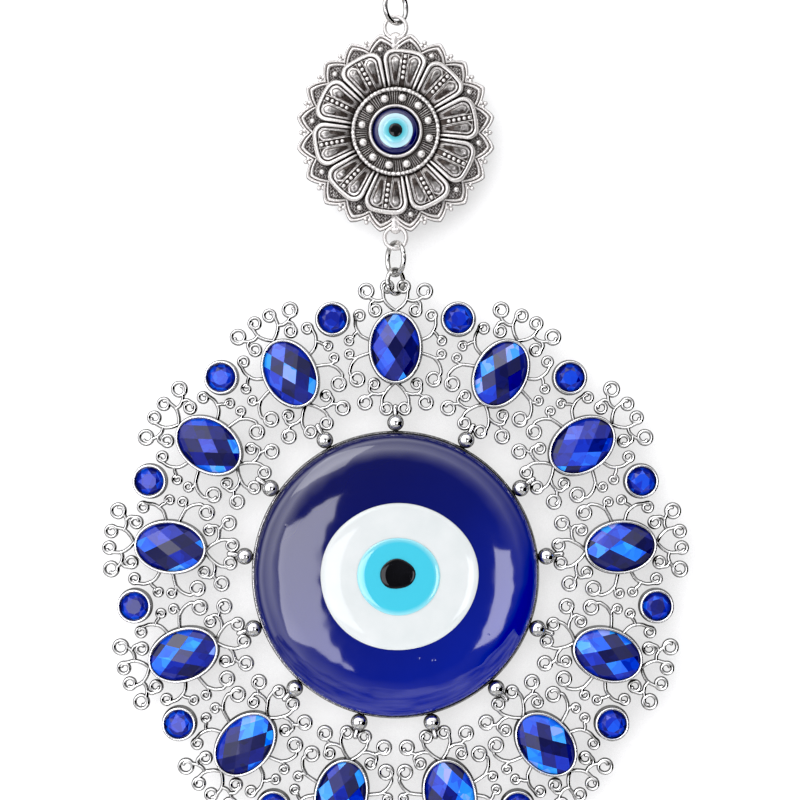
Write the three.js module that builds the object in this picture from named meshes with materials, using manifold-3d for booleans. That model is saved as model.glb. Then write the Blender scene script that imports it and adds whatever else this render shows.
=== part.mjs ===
// Evil eye wall ornament: a hanging ring, a cast medallion with a small glass eye, two jump rings
// and a pierced ring frame set with faceted stones around a large glass eye. Millimetres.
//
// Every piece is modelled in the "face frame": x to the right, y up, z towards the viewer, with
// z = 0 on the flat back. The outer group stands that frame upright, so +Z is up and the face
// looks along -Y. The origin is the centre of the ring frame, on the plane of its back.

import * as THREE from 'three';
import { ConvexGeometry } from 'three/addons/geometries/ConvexGeometry.js';
import { mergeVertices } from 'three/addons/utils/BufferGeometryUtils.js';
import Module from 'manifold-3d';

const wasm = await Module();
wasm.setup();

// ---------- Driving dimensions ----------

const GLUE_GAP = 0.1; // between a stone or glass layer and the seat that holds it
const RUNNING_GAP = 0.12; // between two links that hang on each other
const EYELET_GAP = 0.36; // wider, because a link runs through its eyelet at a slant
const CAST_THICKNESS = 1.2; // the frame's filigree and the medallion's plate
const FLATNESS = 0.002; // how far a corner may lie from its neighbours' line and still be dropped
const WEB_BACK = 0.2; // the filigree stands this far off the frame's back plane
const MID_DEPTH = CAST_THICKNESS / 2; // the links hang in the middle of the castings

// Ring frame
const UNITS = 13;
const STONE_CIRCLE = 48.25; // radius through the oval stones' centres
const ROUND_CIRCLE = 55.95; // radius through the round stones' centres
const BALL_CIRCLE = 32.3;
const BALL_RADIUS = 1.8;
const SEAT_SIDES = 3 * UNITS;
const SEAT_OUTER = 30.8;
const SEAT_WALL = 0.55;
const SEAT_WALL_HEIGHT = 2.6;

// Oval and round stones, each in a bezel cup
const OVAL = { halfWidth: 5, halfLength: 7, girdle: 0.8, crown: 2.2, sides: 12 };
const ROUND = { radius: 3, girdle: 0.6, crown: 1.5, sides: 10 };
const BEZEL_WALL = 0.6;
const BEZEL_HEIGHT = 2.6;
const BEZEL_FLOOR = 1;
const FACET_HALF_WIDTH = 1.67; // of one rhombic facet on the oval stone
const FACET_HALF_LENGTH = 2.6;
const FACET_DROP = 0.24; // how fast the facet corners fall away from the middle

// Large glass eye
const GLASS_RADIUS = 30;
const GLASS_SHOULDER = 7.1; // height of the flat that carries the white layer
const WHITE = { halfWidth: 16.65, halfHeight: 15.5, x: 0.75, y: 0, rise: 0.95, sides: 30 };
const IRIS = { halfWidth: 8.65, halfHeight: 8.2, x: 0.64, y: 0.1, rise: 0.4, sides: 20 };
const PUPIL = { halfWidth: 3.65, halfHeight: 3.2, x: 0.43, y: 0.64, rise: 0.3, sides: 12 };

// Medallion
const PETALS = 20;
const PLATE_TIP = 21;
const PLATE_VALLEY = 18.8;
const STAR_STEP = 0.4; // height of the plate's raised inner star above the outer one
const EYELET_SIDES = 16;
const EYELET_RADIUS = 22.4;
const EYELET_HOLE = 1.9;
const EYELET_RIM = 2.75;
const FLOWER_PETALS = 10;
const FLOWER_RADIUS = 17.7;
const FLOWER_INNER = 9.7;
const FLOWER_TURN = THREE.MathUtils.degToRad(-7.5); // the flower sits turned on its plate
const FLOWER_HEIGHT = 2.9;
const FLOWER_PUFF = 2.6; // width of the rounding along each edge of the flower ring
const FLOWER_NOTCH = 1.4; // how deep the outline dips between two petals
const ROSETTE_RADIUS = 9.4;
const ROSETTE_BALLS = 12;
const ROSETTE_FLOOR = 0.8;
const ROSETTE_BALL_RADIUS = 0.82;
const ROSETTE_SIDES = 18;
const SMALL_EYE = { radius: 4.8, white: 3.8, iris: 2.8, pupil: 1.7, shoulder: 2, rise: 0.28 };

// Links
const HANGING_RING = { radius: 3.45, wire: 0.55, turn: THREE.MathUtils.degToRad(50) };
const UPPER_LINK = { radius: 3.45, wire: 0.55, turn: THREE.MathUtils.degToRad(-60) };
const LOWER_LINK = { radius: 2.6, wire: 0.5, turn: THREE.MathUtils.degToRad(50) };
const LINK_SIDES = [7, 18]; // round the wire, and round the link
const CROWN_GATE = 11.5; // lower link's wire, above the centre of the top oval stone

// ---------- Materials ----------

function material(color, roughness, metalness) {
  return new THREE.MeshStandardMaterial({ color, roughness, metalness });
}

const brightSilver = () => material('#d9dadd', 0.2, 1);
const antiqueSilver = () => material('#a9a7a4', 0.35, 1);
const cobaltGlass = () => material('#0b1a86', 0.08, 0);
const sapphireStone = () => material('#1238b4', 0.05, 0);
const whiteGlass = () => material('#f4f8fb', 0.1, 0);
const paleBlueGlass = () => material('#cfe8ee', 0.1, 0);
const turquoiseGlass = () => material('#4fc8ee', 0.1, 0);
const blackGlass = () => material('#06070a', 0.08, 0);

// ---------- Solids ----------

function solid(geometry) {
  const bare = geometry.index ? geometry.toNonIndexed() : geometry.clone();
  bare.deleteAttribute('normal');
  bare.deleteAttribute('uv');
  const merged = mergeVertices(bare, 1e-4);
  return new wasm.Manifold(
    new wasm.Mesh({
      numProp: 3,
      vertProperties: merged.attributes.position.array,
      triVerts: new Uint32Array(merged.index.array),
    }),
  );
}

function geometryOf(manifold) {
  const { vertProperties, triVerts } = manifold.getMesh();
  const geometry = new THREE.BufferGeometry();
  geometry.setAttribute('position', new THREE.Float32BufferAttribute(vertProperties, 3));
  geometry.setIndex(Array.from(triVerts));
  return geometry;
}

function joined(geometries) {
  return geometries.map(solid).reduce((whole, piece) => whole.add(piece));
}

// The same solid without the extra corners that joins leave on its flat faces.
function tidied(manifold) {
  return manifold.asOriginal().simplify(FLATNESS);
}

// A straight-sided plate between two heights, from an outline in the face.
function plate(shape, bottom, top) {
  const settings = { depth: top - bottom, bevelEnabled: false };
  return new THREE.ExtrudeGeometry(shape, settings).translate(0, 0, bottom);
}

function polygon(points) {
  return new THREE.Shape(points.map(([x, y]) => new THREE.Vector2(x, y)));
}

// Points of an ellipse with its first corner on the x axis.
function ellipse(halfWidth, halfHeight, sides) {
  const corner = (k) => {
    const angle = (2 * Math.PI * k) / sides;
    return [halfWidth * Math.cos(angle), halfHeight * Math.sin(angle)];
  };
  return Array.from({ length: sides }, (_, k) => corner(k));
}

// A disc about the z axis.
function disc(radius, bottom, top, sides) {
  return plate(polygon(ellipse(radius, radius, sides)), bottom, top);
}

// A solid turned about the z axis from (radius, height) points that run up its outside.
function turned(profile, sides) {
  const points = profile.map(([radius, height]) => new THREE.Vector2(radius, height));
  return new THREE.LatheGeometry(points, sides).rotateX(Math.PI / 2);
}

function at(geometry, x, y, turn = 0) {
  return geometry.rotateZ(turn).translate(x, y, 0);
}

function mesh(name, geometry, finish) {
  const piece = new THREE.Mesh(geometry, finish);
  piece.name = name;
  return piece;
}

// ---------- Ring frame ----------

// Scroll curls round one filigree unit, from its outer end to its inner end: how far out from the
// oval stone's centre, how far to the side, the curl's radius, and whether its eye is pierced.
// Each is mirrored to the other side, and a web fills the outline from one curl to the next.
const SCROLLS = [
  { name: 'crown', out: 13.4, side: 1.6, radius: 1.5, open: true },
  { name: 'outer', out: 12.2, side: 6.1, radius: 1.7, open: true },
  { name: 'hook', out: 6.9, side: 8.2, radius: 1.6, open: false },
  { name: 'heart', out: 0.3, side: 9.4, radius: 1.7, open: false },
  { name: 'cheek', out: -6.4, side: 8.4, radius: 2, open: true },
  { name: 'inner', out: -11.7, side: 6.1, radius: 1.7, open: true },
  { name: 'foot', out: -12.8, side: 1.6, radius: 1.5, open: false },
];
const HOOK = SCROLLS.find(({ name }) => name === 'hook');
const FOOT = SCROLLS.find(({ name }) => name === 'foot');
const CURL_SIDES = 6;
const CURL_HOLE_SIDES = 4;
const WIRE = 0.8;

// A straight length of filigree wire between two points of the face.
function bar(x1, y1, x2, y2, width) {
  const length = Math.hypot(x2 - x1, y2 - y1);
  const depth = CAST_THICKNESS - WEB_BACK;
  const box = new THREE.BoxGeometry(length, width, depth).translate(0, 0, WEB_BACK + depth / 2);
  return at(box, (x1 + x2) / 2, (y1 + y2) / 2, Math.atan2(y2 - y1, x2 - x1));
}

function curl({ out, side, radius }, mirror) {
  const lobe = disc(radius, WEB_BACK, CAST_THICKNESS, CURL_SIDES);
  return at(lobe, mirror * side, out, Math.PI / CURL_SIDES);
}

function curlHole({ out, side, radius }, mirror) {
  const hole = disc(radius - WIRE, -1, CAST_THICKNESS + 1, CURL_HOLE_SIDES);
  return at(hole, mirror * side, out);
}

function web() {
  const right = SCROLLS.map(({ out, side }) => [side, out]);
  const left = SCROLLS.map(({ out, side }) => [-side, out]).reverse();
  return plate(polygon([...right, ...left].reverse()), WEB_BACK, CAST_THICKNESS);
}

// Heart-shaped opening at the outer end of a unit: on the top unit the lower link passes here.
function heartOpening() {
  const reach = 1.75;
  const right = [
    [reach, 10.4],
    [reach, 11.7],
    [0.7, 12.35],
  ];
  const left = right.map(([x, y]) => [-x, y]).reverse();
  const point = [0, OVAL.halfLength + GLUE_GAP + BEZEL_WALL + WIRE];
  return plate(polygon([point, ...right, ...left]), -1, CAST_THICKNESS + 1);
}

function ovalCup() {
  const width = OVAL.halfWidth + GLUE_GAP + BEZEL_WALL;
  const length = OVAL.halfLength + GLUE_GAP + BEZEL_WALL;
  return plate(polygon(ellipse(width, length, OVAL.sides)), 0, BEZEL_HEIGHT);
}

function ovalPocket() {
  const outline = ellipse(OVAL.halfWidth + GLUE_GAP, OVAL.halfLength + GLUE_GAP, OVAL.sides);
  return plate(polygon(outline), BEZEL_FLOOR, BEZEL_HEIGHT + 1);
}

// One unit about its oval stone, before it is moved out to its place on the ring.
function filigreeUnit() {
  const wires = [web()];
  const holes = [ovalPocket(), heartOpening()];
  for (const mirror of [-1, 1]) {
    wires.push(...SCROLLS.map((size) => curl(size, mirror)));
    holes.push(...SCROLLS.filter(({ open }) => open).map((size) => curlHole(size, mirror)));
  }
  return tidied(joined([...wires, ovalCup()]).subtract(joined(holes)));
}

// A round bezel cup with the two wires that hook it to the scrolls on either side.
function roundBezel() {
  const halfStep = Math.PI / UNITS;
  const hookCircle = STONE_CIRCLE + HOOK.out;
  const hookX = HOOK.side * Math.cos(halfStep) - hookCircle * Math.sin(halfStep);
  const hookY = HOOK.side * Math.sin(halfStep) + hookCircle * Math.cos(halfStep);
  const cup = disc(ROUND.radius + GLUE_GAP + BEZEL_WALL, 0, BEZEL_HEIGHT, ROUND.sides);
  const pocket = disc(ROUND.radius + GLUE_GAP, BEZEL_FLOOR, BEZEL_HEIGHT + 1, ROUND.sides);
  const wires = [-1, 1].map((mirror) => bar(mirror * hookX, hookY, 0, ROUND_CIRCLE, WIRE));
  const solidPart = joined([cup.translate(0, ROUND_CIRCLE, 0), ...wires]);
  return solidPart.subtract(solid(pocket.translate(0, ROUND_CIRCLE, 0)));
}

function ballAndStub() {
  const ball = new THREE.SphereGeometry(BALL_RADIUS, 6, 4);
  ball.translate(0, BALL_CIRCLE, BALL_RADIUS);
  const footY = STONE_CIRCLE + FOOT.out;
  const stub = bar(0, SEAT_OUTER - SEAT_WALL / 2, 0, footY, 2 * WIRE);
  return [ball, stub, bar(-2 * WIRE, footY, 2 * WIRE, footY, WIRE)];
}

// Shallow cup with a closed back that the large glass eye is glued into.
function glassSeat() {
  const whole = disc(SEAT_OUTER, 0, SEAT_WALL_HEIGHT, SEAT_SIDES);
  const cup = disc(SEAT_OUTER - SEAT_WALL, CAST_THICKNESS, SEAT_WALL_HEIGHT + 1, SEAT_SIDES);
  return solid(whole).subtract(solid(cup));
}

function ringFrame() {
  const unit = filigreeUnit().translate([0, STONE_CIRCLE, 0]).add(joined(ballAndStub()));
  const between = roundBezel();
  const step = 360 / UNITS;
  let ring = glassSeat();
  for (let k = 0; k < UNITS; k += 1) {
    ring = ring.add(unit.rotate([0, 0, k * step])).add(between.rotate([0, 0, (k + 0.5) * step]));
  }
  return mesh('ring_frame', geometryOf(tidied(ring)), brightSilver());
}

// ---------- Stones ----------

// Checkerboard cut: facet corners stand on a rhombic lattice over a low dome, so that each
// rhombic facet is flat.
function ovalStoneGeometry() {
  const { halfWidth, halfLength, girdle, crown, sides } = OVAL;
  const points = [];
  for (const [x, y] of ellipse(halfWidth, halfLength, sides)) {
    points.push(new THREE.Vector3(x, y, 0), new THREE.Vector3(x, y, girdle));
  }
  const columns = Math.floor(halfWidth / FACET_HALF_WIDTH);
  const rows = Math.floor(halfLength / FACET_HALF_LENGTH);
  for (let i = -columns; i <= columns; i += 1) {
    for (let j = -rows; j <= rows; j += 1) {
      const x = i * FACET_HALF_WIDTH;
      const y = j * FACET_HALF_LENGTH;
      const inside = (x / halfWidth) ** 2 + (y / halfLength) ** 2 < 0.9;
      const height = girdle + crown - FACET_DROP * (i * i + j * j);
      if (inside && Math.abs(i + j) % 2 === 1) points.push(new THREE.Vector3(x, y, height));
    }
  }
  return new ConvexGeometry(points);
}

// Round stone with an octagonal table.
function roundStoneGeometry() {
  const { radius, girdle, crown, sides } = ROUND;
  const ring = (size, height, count, turn) =>
    ellipse(size, size, count).map(([x, y]) => {
      const point = new THREE.Vector3(x, y, height);
      return point.applyAxisAngle(new THREE.Vector3(0, 0, 1), turn);
    });
  return new ConvexGeometry([
    ...ring(radius, 0, sides, 0),
    ...ring(radius, girdle, sides, 0),
    ...ring(radius * 0.84, girdle + crown * 0.62, 8, Math.PI / 8),
    ...ring(radius * 0.58, girdle + crown, 8, 0),
  ]);
}

// Stones around the ring, starting `offset` steps from the top and going clockwise.
function stones(prefix, geometry, circle, offset) {
  return Array.from({ length: UNITS }, (_, k) => {
    const turn = (-(k + offset) * 2 * Math.PI) / UNITS;
    const stone = mesh(`${prefix}_${String(k + 1).padStart(2, '0')}`, geometry, sapphireStone());
    stone.position.set(-circle * Math.sin(turn), circle * Math.cos(turn), BEZEL_FLOOR + GLUE_GAP);
    stone.rotation.z = turn;
    return stone;
  });
}

// ---------- Large glass eye ----------

// Profile of a thin glass layer of unit radius: a low dome with a flat middle for the next one.
function layer(name, size, bottom, flat, finish) {
  const profile = [
    [0, 0],
    [1, 0],
    [0.96, size.rise * 0.5],
    [flat, size.rise],
    [0, size.rise],
  ];
  const piece = mesh(name, turned(profile, size.sides), finish);
  piece.scale.set(size.halfWidth, size.halfHeight, 1);
  piece.position.set(size.x, size.y, bottom);
  return piece;
}

function glassEye() {
  const back = CAST_THICKNESS + GLUE_GAP;
  const base = turned(
    [
      [0, back],
      [GLASS_RADIUS - 1.2, back],
      [GLASS_RADIUS - 0.3, back + 0.6],
      [GLASS_RADIUS, back + 1.7],
      [GLASS_RADIUS - 0.5, back + 2.8],
      [GLASS_RADIUS - 2.2, back + 3.9],
      [GLASS_RADIUS - 6, back + 5],
      [GLASS_RADIUS - 12, GLASS_SHOULDER],
      [0, GLASS_SHOULDER],
    ],
    SEAT_SIDES,
  );
  const whiteBottom = GLASS_SHOULDER + GLUE_GAP;
  const irisBottom = whiteBottom + WHITE.rise + GLUE_GAP;
  const pupilBottom = irisBottom + IRIS.rise + GLUE_GAP;
  return [
    mesh('glass_eye_base', base, cobaltGlass()),
    layer('glass_eye_white', WHITE, whiteBottom, 0.6, whiteGlass()),
    layer('glass_eye_iris', IRIS, irisBottom, 0.5, turquoiseGlass()),
    layer('glass_eye_pupil', PUPIL, pupilBottom, 0.4, blackGlass()),
  ];
}

// ---------- Medallion ----------

function starPoints(tip, valley) {
  return Array.from({ length: 2 * PETALS }, (_, k) => {
    const angle = (Math.PI * k) / PETALS;
    const radius = k % 2 === 0 ? valley : tip;
    return [radius * Math.sin(angle), radius * Math.cos(angle)];
  });
}

function medallionPlate() {
  const star = plate(polygon(starPoints(PLATE_TIP, PLATE_VALLEY)), 0, CAST_THICKNESS);
  const inner = starPoints(PLATE_TIP - 1, PLATE_VALLEY - 1);
  const raised = plate(polygon(inner), CAST_THICKNESS / 2, CAST_THICKNESS + STAR_STEP);
  const eyelet = (radius, bottom, end) => {
    const round = disc(radius, bottom, CAST_THICKNESS - bottom, EYELET_SIDES);
    return at(round, 0, end * EYELET_RADIUS, Math.PI / EYELET_SIDES);
  };
  const ears = [-1, 1].map((end) => eyelet(EYELET_RIM, 0, end));
  const holes = [-1, 1].map((end) => eyelet(EYELET_HOLE, -1, end));
  const neck = new THREE.BoxGeometry(EYELET_RIM, 2 * EYELET_RADIUS, CAST_THICKNESS);
  neck.translate(0, 0, CAST_THICKNESS / 2);
  return tidied(joined([star, raised, neck, ...ears]).subtract(joined(holes)));
}

// Outline of one rounded lobe per petal, as points round the whole flower.
function scallop(radius, depth, lobes, pointsPerLobe) {
  const count = lobes * pointsPerLobe;
  return Array.from({ length: count }, (_, k) => {
    const angle = (2 * Math.PI * k) / count;
    const bulge = Math.abs(Math.sin((angle * lobes) / 2)) ** 0.4;
    const reach = radius - depth * (1 - bulge);
    return [reach * Math.cos(angle), reach * Math.sin(angle)];
  });
}

// A puffed ring of petals: its rounded cross-section comes from a wide bevel.
function flowerRing() {
  const outline = polygon(scallop(FLOWER_RADIUS - FLOWER_PUFF, FLOWER_NOTCH, FLOWER_PETALS, 4));
  const inner = FLOWER_INNER + FLOWER_PUFF;
  const hole = ellipse(inner, inner, 2 * FLOWER_PETALS);
  outline.holes.push(new THREE.Path(hole.map(([x, y]) => new THREE.Vector2(x, y))));
  const waist = 0.1; // straight part of the side, between the two bevels
  const bevelThickness = (FLOWER_HEIGHT - waist) / 2;
  const settings = {
    depth: waist,
    bevelEnabled: true,
    bevelThickness,
    bevelSize: FLOWER_PUFF,
    bevelSegments: 2,
  };
  return new THREE.ExtrudeGeometry(outline, settings).translate(0, 0, bevelThickness);
}

// Turned centre of the medallion: a beaded rim, a channel of balls and the small eye's bezel.
function rosetteSolid() {
  const pocket = SMALL_EYE.radius + GLUE_GAP;
  const bezel = pocket + BEZEL_WALL;
  const channel = ROSETTE_RADIUS - 1.1;
  const rimHeight = 1.5;
  const bezelHeight = 2.4;
  const body = turned(
    [
      [0, 0],
      [ROSETTE_RADIUS, 0],
      [ROSETTE_RADIUS, rimHeight],
      [(ROSETTE_RADIUS + channel) / 2, rimHeight + 0.5],
      [channel, rimHeight],
      [channel, ROSETTE_FLOOR],
      [bezel, ROSETTE_FLOOR],
      [bezel, bezelHeight],
      [pocket, bezelHeight],
      [pocket, ROSETTE_FLOOR],
      [0, ROSETTE_FLOOR],
    ],
    ROSETTE_SIDES,
  );
  const ballCircle = (bezel + channel) / 2;
  const balls = Array.from({ length: ROSETTE_BALLS }, (_, k) => {
    const angle = (2 * Math.PI * (k + 0.5)) / ROSETTE_BALLS;
    const ball = new THREE.IcosahedronGeometry(ROSETTE_BALL_RADIUS, 0);
    ball.translate(0, 0, ROSETTE_FLOOR + 0.75 * ROSETTE_BALL_RADIUS);
    return at(ball, ballCircle * Math.cos(angle), ballCircle * Math.sin(angle));
  });
  return tidied(joined([body, ...balls]));
}

// The small eye: a dark dome with three round layers, each standing on the one below.
function smallEye(bottom) {
  const { radius, white, iris, pupil, shoulder, rise } = SMALL_EYE;
  const base = turned(
    [
      [0, bottom],
      [radius, bottom],
      [radius, bottom + 0.6 * shoulder],
      [radius - 0.4, bottom + 0.85 * shoulder],
      [radius - 1, bottom + shoulder],
      [0, bottom + shoulder],
    ],
    ROSETTE_SIDES,
  );
  const round = (size) => ({ halfWidth: size, halfHeight: size, x: 0, y: 0, rise, sides: 12 });
  const step = rise + GLUE_GAP;
  const first = bottom + shoulder + GLUE_GAP;
  return [
    mesh('small_eye_base', base, cobaltGlass()),
    layer('small_eye_white', round(white), first, 0.8, paleBlueGlass()),
    layer('small_eye_iris', round(iris), first + step, 0.7, turquoiseGlass()),
    layer('small_eye_pupil', round(pupil), first + 2 * step, 0.5, blackGlass()),
  ];
}

function medallion() {
  const group = new THREE.Group();
  const seat = CAST_THICKNESS + STAR_STEP + GLUE_GAP;
  const flower = mesh('medallion_flower', flowerRing(), antiqueSilver());
  flower.position.z = seat;
  flower.rotation.z = FLOWER_TURN;
  const rosette = mesh('medallion_rosette', geometryOf(rosetteSolid()), antiqueSilver());
  rosette.position.z = seat;
  group.add(mesh('medallion_plate', geometryOf(medallionPlate()), antiqueSilver()));
  group.add(flower, rosette, ...smallEye(seat + ROSETTE_FLOOR + GLUE_GAP));
  return group;
}

// ---------- Links ----------

function linkRing(name, { radius, wire, turn }) {
  const ring = mesh(name, new THREE.TorusGeometry(radius, wire, ...LINK_SIDES), brightSilver());
  ring.rotation.y = turn;
  ring.position.z = MID_DEPTH;
  return ring;
}

// Heights above the ring frame's centre, each worked out from the link below it.
const eyeletSlack = EYELET_HOLE - UPPER_LINK.wire - EYELET_GAP;
const lowerLinkY = STONE_CIRCLE + CROWN_GATE + LOWER_LINK.radius;
const linkCrossing = lowerLinkY + LOWER_LINK.radius;
const upperLinkY =
  linkCrossing - LOWER_LINK.wire - UPPER_LINK.wire - RUNNING_GAP + UPPER_LINK.radius;
const medallionY = upperLinkY + UPPER_LINK.radius + eyeletSlack + EYELET_RADIUS;
const hangingRingY = medallionY + EYELET_RADIUS + eyeletSlack + HANGING_RING.radius;

// ---------- Assembly ----------

const hangingRing = linkRing('hanging_ring', HANGING_RING);
hangingRing.position.y = hangingRingY;
const upperLink = linkRing('upper_jump_ring', UPPER_LINK);
upperLink.position.y = upperLinkY;
const lowerLink = linkRing('lower_jump_ring', LOWER_LINK);
lowerLink.position.y = lowerLinkY;

const medallionGroup = medallion();
medallionGroup.position.y = medallionY;

const ringGroup = new THREE.Group();
ringGroup.add(ringFrame(), ...glassEye());
ringGroup.add(...stones('oval_stone', ovalStoneGeometry(), STONE_CIRCLE, 0));
ringGroup.add(...stones('round_stone', roundStoneGeometry(), ROUND_CIRCLE, 0.5));

const ornament = new THREE.Group();
ornament.add(hangingRing, medallionGroup, upperLink, lowerLink, ringGroup);
ornament.rotation.x = Math.PI / 2;

export default ornament;
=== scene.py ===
"""The looks of the evil eye wall ornament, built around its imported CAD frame.

Pieces are modelled in millimetres in the "face frame": x to the right, y up and z towards the
viewer, with z = 0 on the flat back and the origin at the ring frame's centre. to_row() turns that
into the row frame, in metres, where the face looks along -Y. Angles run anticlockwise from x.
A part is a pair (points, faces).
"""

import math
import random

import bmesh
import bpy
import numpy as np
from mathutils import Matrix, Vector


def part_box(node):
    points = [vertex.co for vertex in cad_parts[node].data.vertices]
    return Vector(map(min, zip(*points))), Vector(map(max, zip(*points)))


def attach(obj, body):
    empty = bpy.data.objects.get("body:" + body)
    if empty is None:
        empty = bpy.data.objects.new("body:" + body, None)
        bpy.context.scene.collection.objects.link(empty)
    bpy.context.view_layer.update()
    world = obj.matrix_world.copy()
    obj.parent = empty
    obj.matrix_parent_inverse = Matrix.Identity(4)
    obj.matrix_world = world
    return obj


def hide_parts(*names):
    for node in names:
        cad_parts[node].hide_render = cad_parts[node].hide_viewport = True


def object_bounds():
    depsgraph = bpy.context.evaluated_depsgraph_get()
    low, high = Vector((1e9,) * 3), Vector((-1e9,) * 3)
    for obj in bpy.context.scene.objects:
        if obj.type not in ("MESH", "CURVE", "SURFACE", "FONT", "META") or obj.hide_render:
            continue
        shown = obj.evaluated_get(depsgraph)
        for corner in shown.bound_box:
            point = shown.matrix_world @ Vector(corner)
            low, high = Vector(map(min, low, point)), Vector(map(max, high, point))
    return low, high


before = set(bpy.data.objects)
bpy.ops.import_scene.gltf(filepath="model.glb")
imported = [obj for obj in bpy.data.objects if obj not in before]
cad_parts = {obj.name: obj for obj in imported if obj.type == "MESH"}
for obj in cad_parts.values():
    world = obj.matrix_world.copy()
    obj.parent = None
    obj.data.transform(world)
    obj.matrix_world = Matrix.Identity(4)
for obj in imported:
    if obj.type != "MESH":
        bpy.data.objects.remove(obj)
cad_low, cad_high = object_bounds()

MM = 0.001
TAU = 2 * math.pi


# ----- Sizes read from the frame, in millimetres -----


def face_box(node):
    """Lowest and highest corner of a CAD node in the face frame."""
    low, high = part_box(node)
    return np.array([low.x, low.z, -high.y]) / MM, np.array([high.x, high.z, -low.y]) / MM


def centre_of(node):
    low, high = face_box(node)
    return (low + high) / 2


def half_size(node):
    low, high = face_box(node)
    return (high - low) / 2


UNITS = sum(name.startswith("oval_stone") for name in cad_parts)
UNIT_STEP = TAU / UNITS
STONE_CIRCLE = centre_of("oval_stone_01")[1]
STONE_BOTTOM = face_box("oval_stone_01")[0][2]
OVAL_HALF = half_size("oval_stone_01")
OVAL_TOP = face_box("oval_stone_01")[1][2]
ROUND_CIRCLE = float(np.hypot(*centre_of("round_stone_01")[:2]))
ROUND_RADIUS = half_size("round_stone_01")[0]
ROUND_TOP = face_box("round_stone_01")[1][2]
GLASS_LOW, GLASS_HIGH = face_box("glass_eye_base")
GLASS_RADIUS = GLASS_HIGH[0]
MEDALLION_Y = centre_of("medallion_plate")[1]
FLOWER_LOW, FLOWER_HIGH = face_box("medallion_flower")
ROSETTE_BOTTOM = face_box("medallion_rosette")[0][2]


# ----- Meshes -----

CREASE = math.radians(42)  # edges sharper than this stay crisp
RELIEF_CREASE = math.radians(80)  # the same, for the medallion's steep relief


def to_row(points):
    """Face frame in millimetres to the row frame in metres."""
    points = np.asarray(points, float)
    return np.stack([points[:, 0], -points[:, 2], points[:, 1]], axis=1) * MM


def merged(parts):
    """One part from several."""
    points, faces, start = [], [], 0
    for part_points, part_faces in parts:
        points.append(np.asarray(part_points, float))
        faces += [tuple(i + start for i in face) for face in part_faces]
        start += len(part_points)
    return np.concatenate(points), faces


def moved(part, offset=(0, 0, 0), turn=0.0, mirror=False):
    """A part mirrored in x, turned about z, then moved."""
    points, faces = part
    points = np.array(points, float)
    if mirror:
        points[:, 0] *= -1
        faces = [tuple(reversed(face)) for face in faces]
    c, s = math.cos(turn), math.sin(turn)
    points = points @ np.array([[c, s, 0], [-s, c, 0], [0, 0, 1]])
    return points + np.array(offset, float), faces


def clean_mesh(mesh, weld=None):
    """Joins points closer than weld, if given, and turns every face outwards."""
    work = bmesh.new()
    work.from_mesh(mesh)
    if weld:
        bmesh.ops.remove_doubles(work, verts=work.verts, dist=weld)
    bmesh.ops.recalc_face_normals(work, faces=work.faces)
    work.to_mesh(mesh)
    work.free()


def linked(name, data):
    """A new object in the scene."""
    obj = bpy.data.objects.new(name, data)
    bpy.context.scene.collection.objects.link(obj)
    return obj


def piece(name, part, body, material, node, smooth=True, crease=CREASE):
    """A finished object from a part: in place, riding on its body, standing for its CAD node."""
    points, faces = part
    mesh = bpy.data.meshes.new(name)
    mesh.from_pydata(to_row(points).tolist(), [], faces)
    mesh.update()
    clean_mesh(mesh)
    mesh.polygons.foreach_set("use_smooth", [smooth] * len(mesh.polygons))
    if smooth:
        mesh.set_sharp_from_angle(angle=crease)
    mesh.materials.append(material)
    obj = linked(name, mesh)
    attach(obj, body)
    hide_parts(node)
    return obj


def grid_faces(rows, columns, closed=False):
    """Quads between rows of points, where each row is a loop. With closed, the rows are one too."""
    faces = []
    for r in range(rows if closed else rows - 1):
        here = r * columns
        after = (r + 1) % rows * columns
        for c in range(columns):
            n = (c + 1) % columns
            faces.append((here + c, here + n, after + n, after + c))
    return faces


def oval_ring(half_width, half_length, profile, spokes):
    """A closed ring that follows an ellipse; the profile is a loop of (offset outwards, height)."""
    points = []
    for k in range(spokes):
        a = TAU * k / spokes
        for out, z in profile:
            points.append(((half_width + out) * math.cos(a), (half_length + out) * math.sin(a), z))
    return np.array(points), grid_faces(spokes, len(profile), closed=True)


def turned_ring(profile, spokes):
    """A closed ring turned about z from a loop of (radius, height)."""
    return oval_ring(0, 0, profile, spokes)


def oval_plate(half_width, half_length, bottom, top, spokes):
    angles = TAU * np.arange(spokes) / spokes
    outline = np.stack([half_width * np.cos(angles), half_length * np.sin(angles)], axis=1)
    low = np.column_stack([outline, np.full(spokes, bottom)])
    high = np.column_stack([outline, np.full(spokes, top)])
    faces = grid_faces(2, spokes)
    faces += [tuple(reversed(range(spokes))), tuple(range(spokes, 2 * spokes))]
    return np.concatenate([low, high]), faces


def dome(profile, spokes, half_width=1.0, half_length=1.0, lobes=()):
    """A solid turned about z from (radius, height) points, from the bottom middle to the top middle.

    The radii are shares of half_width and half_length. lobes are (count, share, phase) of the
    waves that put a hand-made outline out of round.
    """
    points = [(0.0, 0.0, profile[0][1])]
    for r, z in profile[1:-1]:
        for k in range(spokes):
            a = TAU * k / spokes
            size = r * (1 + sum(share * math.sin(count * a + phase) for count, share, phase in lobes))
            points.append((size * math.cos(a) * half_width, size * math.sin(a) * half_length, z))
    points.append((0.0, 0.0, profile[-1][1]))
    end = len(points) - 1
    last_ring = end - spokes
    faces = [tuple(i + 1 for i in face) for face in grid_faces(len(profile) - 2, spokes)]
    for k in range(spokes):
        n = (k + 1) % spokes
        faces.append((0, 1 + n, 1 + k))
        faces.append((end, last_ring + k, last_ring + n))
    return np.array(points), faces


def ball(centre, radius, rings, spokes):
    lean = math.pi * np.arange(rings + 1) / rings
    profile = [(radius * math.sin(a), -radius * math.cos(a)) for a in lean]
    return moved(dome(profile, spokes), centre)


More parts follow.
